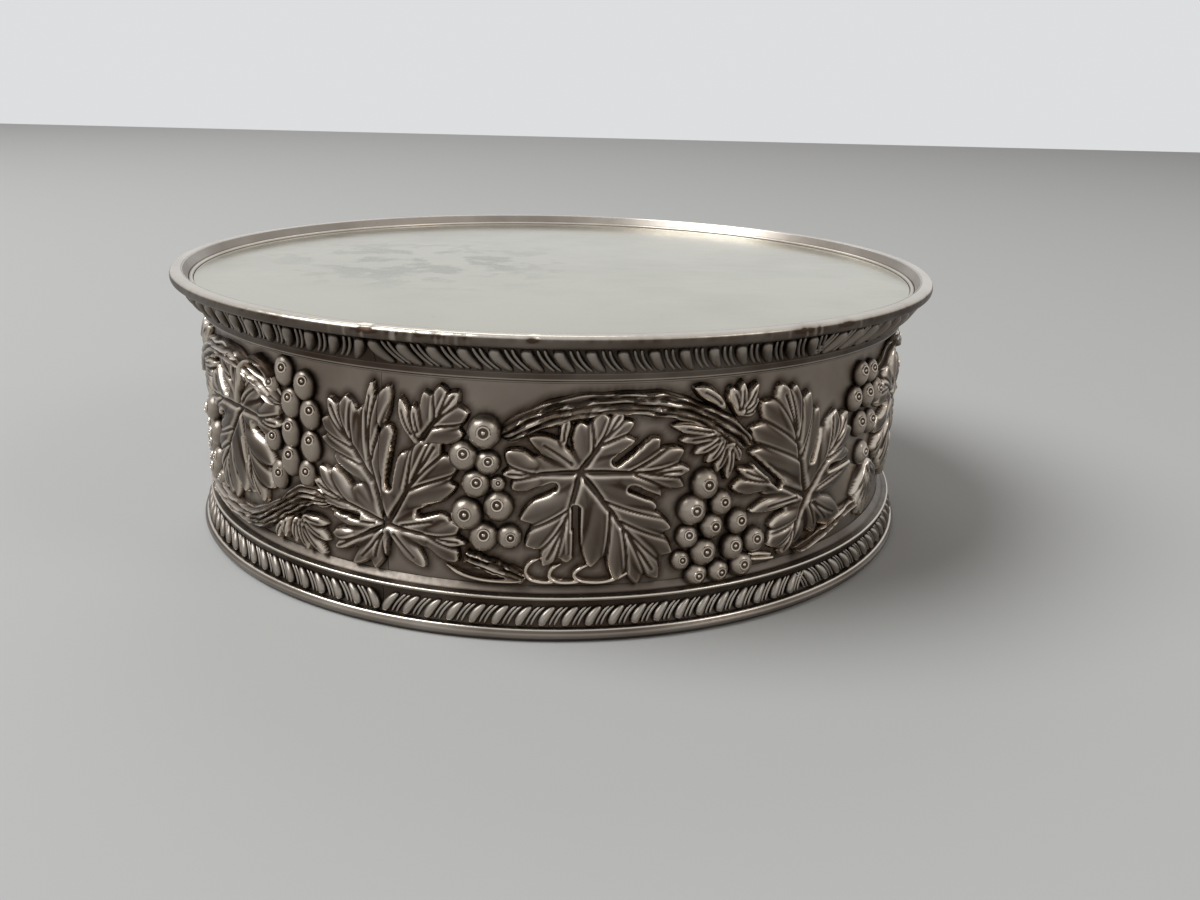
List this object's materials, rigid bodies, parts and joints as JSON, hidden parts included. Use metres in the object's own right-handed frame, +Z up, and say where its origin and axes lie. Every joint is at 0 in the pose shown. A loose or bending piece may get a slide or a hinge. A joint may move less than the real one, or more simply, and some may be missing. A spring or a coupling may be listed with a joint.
{
  "type": "wine bottle coaster",
  "caption": "Round plated coaster for a wine bottle, with a grapevine relief wall, gadroon borders and a recessed base plate, standing on its lip.",
  "frame": {"origin": "middle of the circle that the lip stands on", "axes": "+Z up along the axis, from the lip to the base plate; -Y towards the picture's viewer, +X to the right"},
  "size_m": [0.165, 0.165, 0.055],
  "materials": {
    "polished_plate": "worn silver plate, polished, dark in the hollows",
    "relief_plate": "worn silver plate, polished relief, dark in the hollows",
    "satin_plate": "dull silver plate with fine scratches",
    "liner_plate": "plain silver plate"
  },
  "bodies": {
    "root": {"plate_bead": "polished_plate", "rim_collar": "polished_plate", "rim_edge_wire": "polished_plate", "fillet_ring": "polished_plate", "ridge_wire": "polished_plate", "lip_wire": "polished_plate", "rim_gadroon_1": "polished_plate", "rim_gadroon_2": "polished_plate", "rim_gadroon_3": "polished_plate", "rim_gadroon_4": "polished_plate", "rim_gadroon_5": "polished_plate", "rim_gadroon_6": "polished_plate", "lip_gadroon_1": "polished_plate", "lip_gadroon_2": "polished_plate", "lip_gadroon_3": "polished_plate", "lip_gadroon_4": "polished_plate", "lip_gadroon_5": "polished_plate", "lip_gadroon_6": "polished_plate", "wall_panel_1": "relief_plate", "wall_panel_2": "relief_plate", "base_plate": "satin_plate", "liner_sleeve": "liner_plate"}
  },
  "joints": []
}
